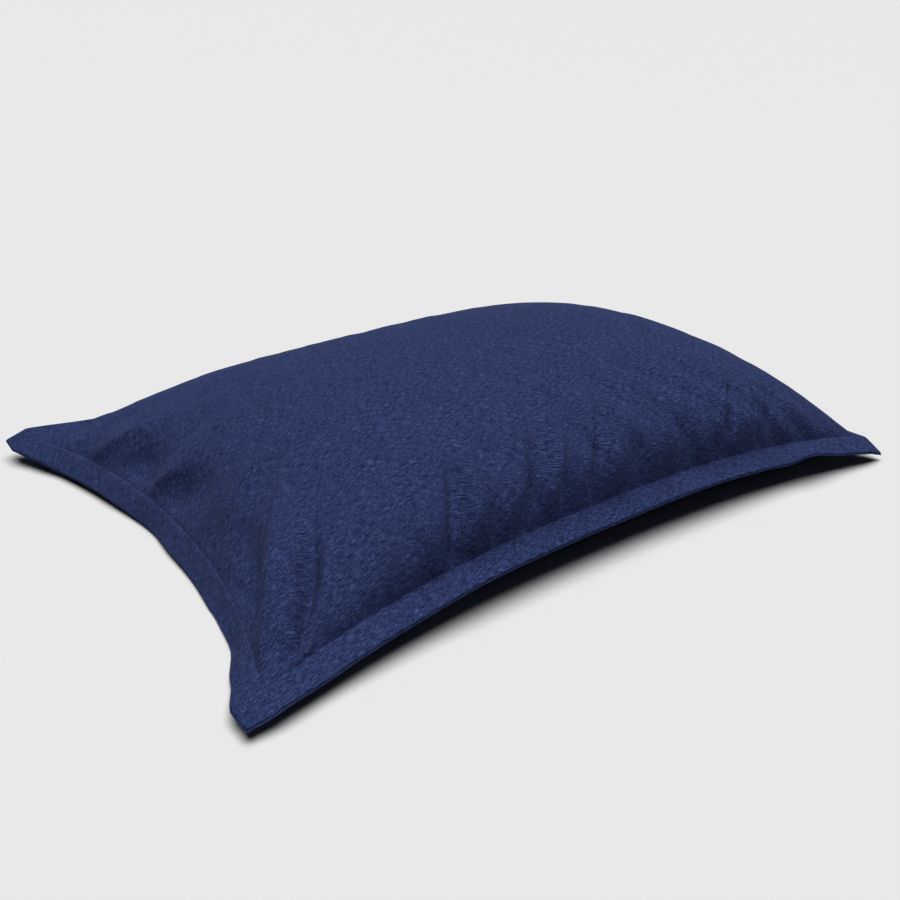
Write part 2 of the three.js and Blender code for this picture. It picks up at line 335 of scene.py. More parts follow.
# The studio: the strength and the width in degrees of the soft light overhead, where it
# comes from, the strength of the light from all round, and the paper floor, which is
# level out to one radius and sweeps up smoothly beyond it to the other.
OVERHEAD_STRENGTH = 5.6
OVERHEAD_WIDTH = 60.0
OVERHEAD_FROM = (0.04, 0.0, 1.0)
FILL_STRENGTH = 0.02
FLOOR_LEVEL = 5000.0
FLOOR_RADIUS = 60000.0
FLOOR_RISE = 0.08

# The camera stands where the photograph was taken from: its turn and height in degrees,
# its distance, what it looks at from the middle of the stitched rectangle, and its focal
# length in pixels of a frame 900 wide.
CAMERA_AZIMUTH = -37.0
CAMERA_ELEVATION = 23.644
CAMERA_DISTANCE = 2193.0
CAMERA_TARGET = (-119.0, -182.0, 120.0)
CAMERA_FOCAL_PIXELS = 981.6
FRAME_PIXELS = 900.0
SENSOR_WIDTH = 36.0


def eased(share):
    """Smooth step: 3 t^2 - 2 t^3 of the share held between 0 and 1."""
    t = np.clip(share, 0.0, 1.0)
    return t * t * (3 - 2 * t)


def bell(distance, width):
    """Gauss curve that is 1 at 0 and 1/e at half the width to either side."""
    return np.exp(-((2 * distance / width) ** 2))


def between(rows, at, column):
    """Curve through the rows of a table, level at each row."""
    places = np.array([row["at"] for row in rows], float)
    values = np.array([row[column] for row in rows], float)
    last = np.clip(np.searchsorted(places, at, side="right") - 1, 0, len(rows) - 2)
    share = eased((at - places[last]) / (places[last + 1] - places[last]))
    return values[last] + (values[last + 1] - values[last]) * share


def plan_share(share, other):
    """Share of the way out in plan: sin(bend * share) / sin(bend), the bend fading to
    nothing at the other pair of sides."""
    bend = np.maximum(PANEL_BEND * (1 - np.abs(other) ** BEND_FADE), LEAST_BEND)
    return np.sin(bend * share) / np.sin(bend)


def span(s, t):
    """Sheet through the four rows of stitching: straight between the corners, plus a bow
    1 - |p|^power along each side that draws it in and lifts it, shared linearly across.
    Returns the plan shares p and q and the points."""
    p, q = plan_share(s, t), plan_share(t, s)
    front, back, left, right = (SIDES[name] for name in ("front", "back", "left", "right"))
    along_x, along_y = (1 + p) / 2, (1 + q) / 2
    bow_x = 1 - np.abs(p) ** front["power"]
    bow_y = 1 - np.abs(q) ** left["power"]
    draw_x = left["draw_in"] * (1 - along_x) - right["draw_in"] * along_x
    draw_y = front["draw_in"] * (1 - along_y) - back["draw_in"] * along_y
    z = bow_x * (front["lift"] * (1 - along_y) + back["lift"] * along_y)
    z = z + bow_y * (left["lift"] * (1 - along_x) + right["lift"] * along_x)
    for corner in CORNERS:
        z = z + corner["height"] * (1 + corner["x"] * p) * (1 + corner["y"] * q) / 4
    x = p * CORNER_X + bow_y * draw_x
    y = q * CORNER_Y + bow_x * draw_y
    return p, q, np.stack([x, y, z], axis=-1)


def crown_share(s, t, p, q):
    """Height of the crown from 0 along the stitching to about 1: the product of the two
    sections 1 - |p|^power and 1 - |q|^power, raised to a rounding exponent that differs
    over the left and the front row, leaning a little, and slack at each corner."""
    section = (1 - np.abs(p) ** CROWN_POWER_X) * (1 - np.abs(q) ** CROWN_POWER_Y)
    left = eased((-p - LEFT_FROM) / (1 - LEFT_FROM)) * (1 - q**4)
    front = eased((-q - FRONT_FROM) / (1 - FRONT_FROM)) * (1 - p**4)
    rounding = CROWN_ROUNDING + LEFT_ROUNDING * left + FRONT_ROUNDING * front
    foot = LEFT_FOOT * left + FRONT_FOOT * front
    share = (np.maximum(section, 0) + foot) ** rounding - foot**rounding
    share = share / ((1 + foot) ** rounding - foot**rounding)
    share = share * (1 + CROWN_LEAN_X * p + CROWN_LEAN_Y * q)
    for c in CORNERS:
        away = ((s - c["x"]) / c["reach_x"]) ** 2 + ((t - c["y"]) / c["reach_y"]) ** 2
        share = share * (1 - c["slack"] * np.exp(-away))
    return share


def crest(distance, reach):
    """Tent with a rounded top that is 1 at 0 and falls to 1/e at about its reach."""
    rounded = np.sqrt(distance**2 + CREST_ROUNDING**2) - CREST_ROUNDING
    return np.exp(-rounded / reach)


def waves(u, v, length, seed, count=24):
    """Even, seeded unevenness: a sum of cosine waves that run in every direction, each
    0.7 to 1.6 times the length given."""
    rows = np.random.default_rng(seed).uniform(0, 1, (count, 3))
    total = 0
    for turn, stretch, phase in rows:
        angle = 2 * np.pi * turn
        way = (u * np.cos(angle) + v * np.sin(angle)) / (length * (0.7 + 0.9 * stretch))
        total = total + np.cos(2 * np.pi * (way + phase))
    return total / math.sqrt(count / 2)


def belly(side, along, half_length, from_seam, pulled):
    """How far the wall over a side bellies out, a little unevenly where it is pulled."""
    bulge = between(BULGES[side], along / half_length, "bulge")
    if not pulled:
        return bulge
    line = along - PULL_LEAN * (from_seam - PULL_FROM_SEAM)
    uneven = 1 + BELLY_UNEVEN * waves(line, 0 * line, BELLY_UNEVEN_LENGTH, 7)
    if side == "front":
        for pull in PULLS:
            place = pull["at"] * half_length
            uneven = uneven - pull["share"] * bell(line - place, pull["width"])
    return bulge * uneven


def smooth_top(s, t, crown_height=CROWN_HEIGHT, pulled=False):
    """The full upper panel without folds: the spanned sheet, raised by the crown. Its wall
    bellies out by share^2 (1 - share) of the crown's height there, scaled to reach 1."""
    p, q, points = span(s, t)
    share = crown_share(s, t, p, q)
    held = np.clip(share, 0, 1)
    wall = 27 / 4 * held**2 * (1 - held)
    u, v = s * SEAM_U, t * SEAM_V
    left = belly("left", v, SEAM_V, SEAM_U + u, pulled)
    right = belly("right", v, SEAM_V, SEAM_U - u, pulled)
    front = belly("front", u, SEAM_U, SEAM_V + v, pulled)
    back = belly("back", u, SEAM_U, SEAM_V - v, pulled)
    out_x, out_y = np.where(u < 0, left, right), np.where(v < 0, front, back)
    points[..., 0] += np.sign(p) * np.abs(p) ** BELLY_POWER * wall * out_x
    points[..., 1] += np.sign(q) * np.abs(q) ** BELLY_POWER * wall * out_y
    points[..., 2] += crown_height * share
    return points


def hang(side, at, distance):
    """How far out and down the flange lies at a distance from the stitching."""
    curl = between(FLANGE_HANG[side], at, "curl") * distance / FLANGE_WIDTH / 2
    slope = np.radians(between(FLANGE_HANG[side], at, "slope") + curl)
    return distance * np.cos(slope), distance * np.sin(slope)


def middle(u, v):
    """Middle of the cloth's thickness: the spanned sheet inside the stitching, and outside
    it the same sheet's edge carried out and down as the flange hangs."""
    s, t = np.clip(u / SEAM_U, -1, 1), np.clip(v / SEAM_V, -1, 1)
    points = span(s, t)[2]
    past_u = np.maximum(np.abs(u) - SEAM_U, 0)
    past_v = np.maximum(np.abs(v) - SEAM_V, 0)
    left, right = hang("left", t, past_u), hang("right", t, past_u)
    front, back = hang("front", s, past_v), hang("back", s, past_v)
    out_x, down_x = (np.where(u < 0, a, b) for a, b in zip(left, right))
    out_y, down_y = (np.where(v < 0, a, b) for a, b in zip(front, back))
    points[..., 0] += np.sign(u) * out_x
    points[..., 1] += np.sign(v) * out_y
    points[..., 2] = np.maximum(points[..., 2] - down_x - down_y, FLANGE_CLEARANCE)
    return points


def gather_height(side, along, half_length, from_seam):
    """Ridges over a row of stitching: a bell along the row for each, which rises just
    inside the stitching and fades out up the wall."""
    rise = eased(from_seam / GATHER_HOLD)
    fade = np.clip(1 - from_seam / GATHER_FAR, 0, 1) ** 2
    height = 0
    for gather in GATHERS[side]:
        place = gather["at"] * half_length
        height = height + gather["height"] * bell(along - place, GATHER_WIDTH)
    return height * rise * fade


def fold_height(u, v):
    """How far folds and gathers move the upper panel outwards: for each fold one bell
    along its way times, across it, a crest or a bell with the reach given on either side."""
    from_seam = np.minimum(SEAM_U - np.abs(u), SEAM_V - np.abs(v))
    hold = eased(from_seam / FOLD_HOLD)
    height = np.zeros_like(from_seam)
    for fold in FOLDS:
        way = math.radians(fold["way"])
        off_u, off_v = u - fold["u"], v - fold["v"]
        along = off_u * math.cos(way) + off_v * math.sin(way)
        across = off_v * math.cos(way) - off_u * math.sin(way)
        reach = np.where(across > 0, fold["left"], fold["right"])
        section = crest(across, reach) if fold["height"] > 0 else bell(across, 2 * reach)
        height += fold["height"] * bell(along, fold["length"]) * section * hold
    height += gather_height("back", u, SEAM_U, SEAM_V - v)
    height += gather_height("right", v, SEAM_V, SEAM_U - u)
    return height


def grid_normals(points):
    """Unit normals of a grid of points, from its slopes both ways."""
    normals = np.cross(np.gradient(points, axis=0), np.gradient(points, axis=1))
    return normals / np.maximum(np.linalg.norm(normals, axis=-1, keepdims=True), 1e-9)


def ring_normals(rings):
    """Unit normals of closed rings of points, the first axis running outwards."""
    along = np.roll(rings, -1, axis=1) - np.roll(rings, 1, axis=1)
    normals = np.cross(np.gradient(rings, axis=0), along)
    return normals / np.maximum(np.linalg.norm(normals, axis=-1, keepdims=True), 1e-9)


def grid_lines(seam, cells):
    """Places of the grid lines from one row of stitching to the other."""
    share = np.linspace(-1, 1, cells + 1)
    return seam * np.sign(share) * (1 - (1 - np.abs(share)) ** CELL_POWER)


def even_shares(lines, across, sheet):
    """Where grid lines cross the upper panel so that the cloth between them is as long
    there as on the flat panel: the arc length of each section, shared out evenly."""
    dense = np.linspace(-1, 1, SECTION_POINTS)
    dense = np.sign(dense) * (1 - (1 - np.abs(dense)) ** 2)
    points = sheet(*np.meshgrid(dense, across, indexing="ij"))
    steps = np.linalg.norm(np.diff(points, axis=0), axis=-1)
    arc = np.concatenate([np.zeros((1, len(across))), np.cumsum(steps, axis=0)])
    share = (1 + lines) / 2
    return np.stack([np.interp(share * a[-1], a, dense) for a in arc.T], axis=1)


def upper_shares(lines_u, lines_v):
    """Places on the formed upper panel of each crossing of the grid lines: evenly spread
    cloth inside, which meets the even rows of stitching at the sides."""
    lines_s, lines_t = lines_u / SEAM_U, lines_v / SEAM_V
    flat_s, flat_t = np.meshgrid(lines_s, lines_t, indexing="ij")
    even_s = even_shares(lines_s, lines_t, smooth_top)
    even_t = even_shares(lines_t, lines_s, lambda t, s: smooth_top(s, t)).T
    near_t, near_s = np.abs(flat_t) ** SIDE_FADE, np.abs(flat_s) ** SIDE_FADE
    s = even_s * (1 - near_t) + flat_s * near_t
    t = even_t * (1 - near_s) + flat_t * near_s
    return s, t


def spread(to_places, from_places, reach):
    """Weights that carry values from one row of places to another: a Gauss curve of the
    distance, scaled so that each row adds up to 1."""
    weights = np.exp(-(((to_places[:, None] - from_places) / reach) ** 2))
    return weights / weights.sum(axis=1, keepdims=True)


def settle_movement(shape):
    """Runs Blender's cloth on the upper panel, held at its stitching, pressed from below
    and a little longer and wider than its room, so the spare cloth buckles into puckers.
    Returns the grid lines and how far each crossing moved, less the even swelling, which
    is the same movement smoothed along the nearer row of stitching."""
    lines_u = np.linspace(-SEAM_U, SEAM_U, SETTLE_CELLS_U + 1)
    lines_v = np.linspace(-SEAM_V, SEAM_V, SETTLE_CELLS_V + 1)
    s, t = upper_shares(lines_u, lines_v)
    smooth = smooth_top(s, t, shape.crown_height / MM)
    u, v = np.meshgrid(lines_u, lines_v, indexing="ij")
    past_u, past_v = SEAM_U - np.abs(u), SEAM_V - np.abs(v)
    from_seam = np.minimum(past_u, past_v)
    seed = SETTLE_SEED * waves(u, v, SETTLE_SEED_LENGTH, 3)
    seed = seed * eased(from_seam / SETTLE_SEED_HOLD)
    start = smooth + grid_normals(smooth) * seed[..., None]
    index = np.arange(u.size).reshape(u.shape)
    sheet = mesh_object("settling", start.reshape(-1, 3), quads_of_grid(index))
    held = sheet.vertex_groups.new(name="stitched")
    rim = np.concatenate([index[0], index[-1], index[:, 0], index[:, -1]])
    held.add(np.unique(rim).tolist(), 1.0, "REPLACE")

    cloth = sheet.modifiers.new("settle", "CLOTH")
    cloth.settings.quality = 6
    cloth.settings.mass = 0.3
    cloth.settings.air_damping = 2.0
    cloth.settings.tension_stiffness = 40.0
    cloth.settings.compression_stiffness = 40.0
    cloth.settings.shear_stiffness = 10.0
    cloth.settings.bending_stiffness = 5.0
    cloth.settings.vertex_group_mass = held.name
    cloth.settings.shrink_min = -SETTLE_SLACK
    cloth.settings.use_pressure = True
    cloth.settings.uniform_pressure_force = SETTLE_PRESSURE
    cloth.settings.effector_weights.gravity = 0.0
    cloth.collision_settings.use_collision = False
    cloth.point_cache.frame_start = 1
    cloth.point_cache.frame_end = SETTLE_FRAMES

    scene = bpy.context.scene
    for number in range(1, SETTLE_FRAMES + 1):
        scene.frame_set(number)
    settled = sheet.evaluated_get(bpy.context.evaluated_depsgraph_get()).to_mesh()
    after = np.zeros(u.size * 3, np.float32)
    settled.vertices.foreach_get("co", after)
    moved = after.reshape(start.shape) / MM - smooth
    bpy.data.objects.remove(sheet, do_unlink=True)
    scene.frame_set(1)

    along = np.einsum("ia,ajk->ijk", spread(lines_u, lines_u, SETTLE_FORM), moved)
    across = np.einsum("jb,ibk->ijk", spread(lines_v, lines_v, SETTLE_FORM), moved)
    near_v = (past_u**2 / np.maximum(past_u**2 + past_v**2, 1.0))[..., None]
    moved = moved - near_v * along - (1 - near_v) * across
    far = np.maximum(np.linalg.norm(moved, axis=-1, keepdims=True), 1e-6)
    moved *= SETTLE_REACH * np.tanh(far / SETTLE_REACH) / far
    shown_u = np.where(u < 0, SETTLE_SHOWN["left"], SETTLE_SHOWN["right"])
    shown_v = np.where(v < 0, SETTLE_SHOWN["front"], SETTLE_SHOWN["back"])
    shown = near_v * shown_v[..., None] + (1 - near_v) * shown_u[..., None]
    return lines_u, lines_v, moved * shown * eased(from_seam / SETTLE_HOLD)[..., None]


def upper_grid(lines_u, lines_v, shape):
    """The upper panel between the stitching, with its folds, on evenly spread cloth."""
    s, t = upper_shares(lines_u, lines_v)
    points = smooth_top(s, t, shape.crown_height / MM, pulled=True)
    if shape.settle:
        rows, columns, moved = settle_movement(shape)
        along = spread(lines_u, rows, SETTLE_CARRY)
        across = spread(lines_v, columns, SETTLE_CARRY)
        points = points + np.einsum("ia,abk,jb->ijk", along, moved, across)
    points[..., 2] += UPPER_EDGE[0]["half"]
    relief = shape.fold_depth * fold_height(s * SEAM_U, t * SEAM_V)
    return points + grid_normals(points) * relief[..., None]


def lower_grid(lines_u, lines_v):
    """The lower panel: from the stitching to the floor in a quarter round, then flat."""
    u, v = np.meshgrid(lines_u, lines_v, indexing="ij")
    p, q, points = span(u / SEAM_U, v / SEAM_V)
    reach = np.maximum(np.abs(p), np.abs(q))
    rise = np.clip((reach - FLOOR_SHARE) / (1 - FLOOR_SHARE), 0, 1)
    fall = 1 - np.sqrt(1 - rise * rise)
    points[..., 2] = fall * (points[..., 2] - LOWER_EDGE[0]["half"])
    return points


def ring_order(rows, columns):
    """Grid indices of the outline, anticlockwise from the first corner."""
    last_i, last_j = rows - 1, columns - 1
    i = np.concatenate(
        [
            np.arange(last_i),
            np.full(last_j, last_i),
            np.arange(last_i, 0, -1),
            np.zeros(last_j, int),
        ]
    )
    j = np.concatenate(
        [
            np.zeros(last_i, int),
            np.arange(last_j),
            np.full(last_i, last_j),
            np.arange(last_j, 0, -1),
        ]
    )
    return i, j


def flange_rings(ring_u, ring_v, edge, side):
    """One face of the flange: rings of cloth from the stitching out, each a rectangle
    grown from the stitched one, moved off the middle of the cloth by half its thickness."""
    out = np.array([row["out"] for row in edge])[:, None]
    half = np.array([row["half"] for row in edge])[:, None, None]
    u = ring_u[None] * (1 + out / SEAM_U)
    v = ring_v[None] * (1 + out / SEAM_V)
    flat = np.linspace(0, FLANGE_WIDTH, len(edge))[:, None]
    normals = ring_normals(
        middle(ring_u[None] * (1 + flat / SEAM_U), ring_v[None] * (1 + flat / SEAM_V))
    )
    return middle(u, v) + side * half * normals, u, v


def mesh_object(name, points, faces, uv=None):
    """A smooth mesh object in the part's frame from points in millimetres."""
    mesh = bpy.data.meshes.new(name)
    mesh.from_pydata((np.asarray(points) * MM).tolist(), [], [list(f) for f in faces])
    if uv is not None:
        corner = np.zeros(len(mesh.loops), np.int32)
        mesh.loops.foreach_get("vertex_index", corner)
        layer = mesh.uv_layers.new(name="cloth")
        layer.data.foreach_set("uv", (uv[corner] * MM).ravel())
    mesh.polygons.foreach_set("use_smooth", np.ones(len(mesh.polygons), bool))
    mesh.validate()
    made = bpy.data.objects.new(name, mesh)
    bpy.context.scene.collection.objects.link(made)
    return made


def quads_of_grid(index):
    """Faces of a grid of vertex numbers, facing up where it runs +X then +Y."""
    a, b = index[:-1, :-1], index[1:, :-1]
    c, d = index[1:, 1:], index[:-1, 1:]
    return np.stack([a, b, c, d], axis=-1).reshape(-1, 4)


def quads_of_rings(index):
    """Faces between closed rings of vertex numbers, facing up where they grow outwards."""
    after = np.roll(index, -1, axis=1)
    quads = [index[:-1], index[1:], after[1:], after[:-1]]
    return np.stack(quads, axis=-1).reshape(-1, 4)


def bag_surface(shape):
    """The whole closed bag: the upper panel and its side of the flange, and the lower
    panel and its side, which share the ring of points in the groove at the edge."""
    lines_u, lines_v = grid_lines(SEAM_U, CELLS_U), grid_lines(SEAM_V, CELLS_V)
    i, j = ring_order(len(lines_u), len(lines_v))
    ring_u, ring_v = lines_u[i], lines_v[j]
    upper_rings, upper_u, upper_v = flange_rings(ring_u, ring_v, UPPER_EDGE, 1)
    lower_rings, lower_u, lower_v = flange_rings(ring_u, ring_v, LOWER_EDGE, -1)
    upper = upper_grid(lines_u, lines_v, shape)
    lower = lower_grid(lines_u, lines_v)
    upper[i, j], lower[i, j] = upper_rings[0], lower_rings[0]

    u, v = np.meshgrid(lines_u, lines_v, indexing="ij")
    count, around = u.size, len(ring_u)
    upper_index = np.arange(count).reshape(u.shape)
    lower_index = count + upper_index
    upper_ring = 2 * count + np.arange((len(UPPER_EDGE) - 1) * around).reshape(-1, around)
    lower_ring = upper_ring.max() + 1 + np.arange(
        (len(LOWER_EDGE) - 2) * around
    ).reshape(-1, around)
    lower_ring = np.concatenate([lower_ring, upper_ring[-1:]])
    upper_ring = np.concatenate([upper_index[i, j][None], upper_ring])
    lower_ring = np.concatenate([lower_index[i, j][None], lower_ring])

    points = np.concatenate(
        [
            upper.reshape(-1, 3),
            lower.reshape(-1, 3),
            upper_rings[1:].reshape(-1, 3),
            lower_rings[1:-1].reshape(-1, 3),
        ]
    )
    # The lower panel has its own place in the cloth coordinates, clear of the upper one.
    apart = PANEL_WIDTH * 1.5
    uv = np.concatenate(
        [
            np.stack([u, v], -1).reshape(-1, 2),
            np.stack([u, v + apart], -1).reshape(-1, 2),
            np.stack([upper_u[1:], upper_v[1:]], -1).reshape(-1, 2),
            np.stack([lower_u[1:-1], lower_v[1:-1] + apart], -1).reshape(-1, 2),
        ]
    )
    faces = np.concatenate(
        [
            quads_of_grid(upper_index),
            quads_of_grid(lower_index)[:, ::-1],
            quads_of_rings(upper_ring),
            quads_of_rings(lower_ring)[:, ::-1],
        ]
    )
    return points, faces, uv


def stitches(shape):
    """Every stitch of the row round the bag, on both faces of the flange: a short tube
    that rises from the cloth as half a sine wave and dips back into it."""
    lines_u, lines_v = grid_lines(SEAM_U, CELLS_U), grid_lines(SEAM_V, CELLS_V)
    i, j = ring_order(len(lines_u), len(lines_v))
    around_u, around_v = lines_u[i], lines_v[j]
    points, faces = [], []
    for edge, side in ((UPPER_EDGE, 1), (LOWER_EDGE, -1)):
        rings = flange_rings(around_u, around_v, edge[:4], side)[0]
        share = STITCH_FROM_SEAM / edge[1]["out"]
        row = rings[0] * (1 - share) + rings[1] * share
        away = rings[1] - rings[0]
        row = np.concatenate([row, row[:1]])
        away = np.concatenate([away, away[:1]])
        steps = np.linalg.norm(np.diff(row, axis=0), axis=-1)
        arc = np.concatenate([[0], np.cumsum(steps)])
        count = int(round(arc[-1] / (shape.stitch_length / MM)))
        length = arc[-1] / count
        part = np.linspace(0, STITCH_SHARE, THREAD_STEPS)
        at = (np.arange(count)[:, None] + part) * length
        line = np.stack([np.interp(at, arc, row[:, k]) for k in range(3)], -1)
        across = np.stack([np.interp(at, arc, away[:, k]) for k in range(3)], -1)
        along = np.gradient(line, axis=1)
        along /= np.linalg.norm(along, axis=-1, keepdims=True)
        up = side * np.cross(across, along)
        up /= np.linalg.norm(up, axis=-1, keepdims=True)
        across = np.cross(along, up)
        rise = STITCH_RISE * (2 * np.sin(np.pi * part / STITCH_SHARE) - 1)
        line = line + up * rise[:, None]
        turn = np.linspace(0, 2 * np.pi, THREAD_SIDES, endpoint=False)
        radius = shape.thread_radius / MM
        tube = line[:, :, None] + radius * (
            np.cos(turn)[:, None] * across[:, :, None] + np.sin(turn)[:, None] * up[:, :, None]
        )
        first = sum(len(p) for p in points)
        index = first + np.arange(tube[..., 0].size).reshape(tube.shape[:3])
        after = np.roll(index, -1, axis=2)
        quads = [index[:, :-1], index[:, 1:], after[:, 1:], after[:, :-1]]
        faces += np.stack(quads, -1).reshape(-1, 4).tolist()
        faces += index[:, 0].tolist() + index[:, -1, ::-1].tolist()
        points.append(tube.reshape(-1, 3))
    return np.concatenate(points), faces


def plan_centre():
    """Middle of the bag's plan box, which the part's frame has at its origin."""
    edge_u, edge_v = grid_lines(SEAM_U, CELLS_U), grid_lines(SEAM_V, CELLS_V)
    i, j = ring_order(len(edge_u), len(edge_v))
    grow_u, grow_v = PANEL_LENGTH / 2 / SEAM_U, PANEL_WIDTH / 2 / SEAM_V
    rim = middle(edge_u[i] * grow_u, edge_v[j] * grow_v)
    return np.array([*(rim.min(0) + rim.max(0))[:2] / 2, 0.0])


CENTRE = plan_centre()


def srgb(hex_colour):
    """Linear RGBA of an sRGB hex colour."""
    values = [int(hex_colour[k : k + 2], 16) / 255 for k in (1, 3, 5)]
    linear = [c / 12.92 if c <= 0.04045 else ((c + 0.055) / 1.055) ** 2.4 for c in values]
    return (*linear, 1.0)


def add_node(tree, kind, settings=None, inputs=None):
    """Adds a shader node, with settings by name, and inputs as values or output sockets."""
    node = tree.nodes.new(kind)
    for name, value in (settings or {}).items():
        setattr(node, name, value)
    for key, value in (inputs or {}).items():
        if isinstance(value, bpy.types.NodeSocket):
            tree.links.new(value, node.inputs[key])
        else:
            node.inputs[key].default_value = value
    return node


def new_material(name):
    """An empty node material and its tree."""
    material = bpy.data.materials.new(name)
    material.use_nodes = True
    material.node_tree.nodes.clear()
    return material, material.node_tree


def finish_surface(tree, shader):
    """Puts a shader on the material's output."""
    add_node(tree, "ShaderNodeOutputMaterial", {}, {"Surface": shader.outputs["BSDF"]})


def yarn_streaks(tree, coordinate, along, across, place):
    """Noise drawn out along one yarn direction: the lighter and darker fibres of a spun
    yarn, each streak as long and as wide as given, in metres."""
    scaled = add_node(
        tree,
        "ShaderNodeMapping",
        {},
        {"Vector": coordinate, "Location": place, "Scale": (1 / along, 1 / across, 1.0)},
    ).outputs["Vector"]
    return add_node(
        tree,
        "ShaderNodeTexNoise",
        {"noise_dimensions": "2D"},
        {"Vector": scaled, "Scale": 1.0, "Detail": 1.0, "Roughness": 0.6},
    ).outputs["Fac"]


def melange_canvas(finish):
    """Matt polyester canvas, plain woven from spun navy yarn that mixes darker and paler
    fibres. That gives fine light and dark strokes both ways of the weave, a dry surface
    with no gloss, and a faint bloom where it turns away. Real yarns lie about 0.8 mm
    apart, too fine for the picture, so the weave is drawn nearly twice as coarse. The
    streaks vary about 0.5: at 0.3 the darkest fibres show and at 0.7 the palest."""
    material, tree = new_material("melange polyester canvas")
    coordinate = add_node(tree, "ShaderNodeUVMap", {"uv_map": "cloth"}).outputs["UV"]
    yarn = finish.yarn_spacing
    warp = yarn_streaks(tree, coordinate, 12.0 * yarn, yarn, (0.0, 0.0, 0.0))
    weft = yarn_streaks(tree, coordinate, yarn, 8.0 * yarn, (31.7, 12.3, 0.0))
    woven = add_node(
        tree,
        "ShaderNodeMix",
        {"data_type": "FLOAT"},
        {"Factor": 0.42, "A": warp, "B": weft},
    ).outputs["Result"]
    fibres = add_node(tree, "ShaderNodeValToRGB", {}, {"Fac": woven})
    ramp = fibres.color_ramp
    ramp.elements[0].position = 0.30
    ramp.elements[0].color = (*finish.dark_fibre, 1.0)
    ramp.elements[1].position = 0.70
    ramp.elements[1].color = (*finish.pale_fibre, 1.0)
    ramp.elements.new(0.5).color = (*finish.yarn_colour, 1.0)
    wear = add_node(
        tree,
        "ShaderNodeTexNoise",
        {"noise_dimensions": "2D"},
        {"Vector": coordinate, "Scale": 14.0, "Detail": 3.0, "Roughness": 0.6},
    ).outputs["Fac"]
    level = add_node(
        tree,
        "ShaderNodeMapRange",
        {},
        {"Value": wear, "From Min": 0.3, "From Max": 0.7, "To Min": 0.93, "To Max": 1.07},
    ).outputs["Result"]
    colour = add_node(
        tree,
        "ShaderNodeHueSaturation",
        {},
        {"Color": fibres.outputs["Color"], "Value": level},
    ).outputs["Color"]
    shader = add_node(
        tree,
        "ShaderNodeBsdfPrincipled",
        {},
        {
            "Base Color": colour,
            "Roughness": 0.92,
            "IOR": 1.45,
            "Specular IOR Level": 0.08,
            "Sheen Weight": 0.03,
            "Sheen Roughness": 0.4,
            "Sheen Tint": srgb("#9FAACB"),
        },
    )
    finish_surface(tree, shader)
    return material


def sewing_thread(finish):
    """Spun polyester thread dyed to the cloth: a little smoother and shinier than it."""
    material, tree = new_material("spun polyester thread")
    coordinate = add_node(tree, "ShaderNodeTexCoord").outputs["Object"]
    twist = add_node(
        tree,
        "ShaderNodeTexNoise",
        {},
        {"Vector": coordinate, "Scale": 1500.0, "Detail": 1.0},
    ).outputs["Fac"]
    colour = add_node(
        tree,
        "ShaderNodeMix",
        {"data_type": "RGBA"},
        {
            "Factor": twist,
            "A": (*finish.thread_colour, 1.0),
            "B": (*finish.pale_fibre, 1.0),
        },
    ).outputs["Result"]
    shader = add_node(
        tree,
        "ShaderNodeBsdfPrincipled",
        {},
        {"Base Color": colour, "Roughness": 0.7, "Specular IOR Level": 0.4},
    )
    finish_surface(tree, shader)
    return material


def matt_paper(colour):
    """Matt background paper: even, with no gloss."""
    material, tree = new_material("matt background paper")
    shader = add_node(
        tree,
        "ShaderNodeBsdfPrincipled",
        {},
        {"Base Color": (*colour, 1.0), "Roughness": 1.0, "Specular IOR Level": 0.0},
    )
    finish_surface(tree, shader)
    return material


def paper_sweep(rings=48, around=96):
    """A level disc of paper whose surround sweeps up: height = rise * (r - level)^2 / r
    beyond the level part."""
    radius = np.linspace(0, 1, rings) ** 2 * FLOOR_RADIUS
    turn = np.linspace(0, 2 * np.pi, around, endpoint=False)
    past = np.maximum(radius - FLOOR_LEVEL, 0)
    height = FLOOR_RISE * past**2 / np.maximum(radius, FLOOR_LEVEL)
    x = radius[1:, None] * np.cos(turn)
    y = radius[1:, None] * np.sin(turn)
    z = np.broadcast_to(height[1:, None], x.shape)
    points = np.concatenate([[[0.0, 0.0, 0.0]], np.stack([x, y, z], -1).reshape(-1, 3)])
    index = 1 + np.arange(x.size).reshape(x.shape)
    middle_fan = np.stack([np.zeros(around, int), index[0], np.roll(index[0], -1)], -1)
    return points, middle_fan.tolist() + quads_of_rings(index).tolist()


def colour_property(name, description, hex_colour):
    """A colour setting with its default."""
    return bpy.props.FloatVectorProperty(
        name=name,
        description=description,
        default=srgb(hex_colour)[:3],
        size=3,
        min=0.0,
        max=1.0,
        subtype="COLOR",
    )


class BeanBagShape(bpy.types.PropertyGroup):
    crown_height: bpy.props.FloatProperty(
        name="Crown height",
        description="Height of the full crown above the rows of stitching",
        default=CROWN_HEIGHT * MM,
        min=0.05,
        max=0.24,
        unit="LENGTH",
        subtype="DISTANCE",
    )
    fold_depth: bpy.props.FloatProperty(
        name="Fold depth",
        description="How deep the folds and gathers are, as a share of those it has now",
        default=1.0,
        min=0.0,
        max=1.5,
        subtype="FACTOR",
    )
    settle: bpy.props.BoolProperty(
        name="Settle the cloth",
        description="Run the cloth simulation that adds the small puckers",
        default=True,
    )
    stitch_length: bpy.props.FloatProperty(
        name="Stitch length",
        description="Length of row that one stitch and its gap take up",
        default=STITCH_LENGTH * MM,
        min=0.002,
        max=0.02,
        unit="LENGTH",
        subtype="DISTANCE",
    )
    thread_radius: bpy.props.FloatProperty(
        name="Thread radius",
        description="Half the thickness of the sewing thread",
        default=THREAD_RADIUS * MM,
        min=0.0001,
        max=0.002,
        unit="LENGTH",
        subtype="DISTANCE",
    )


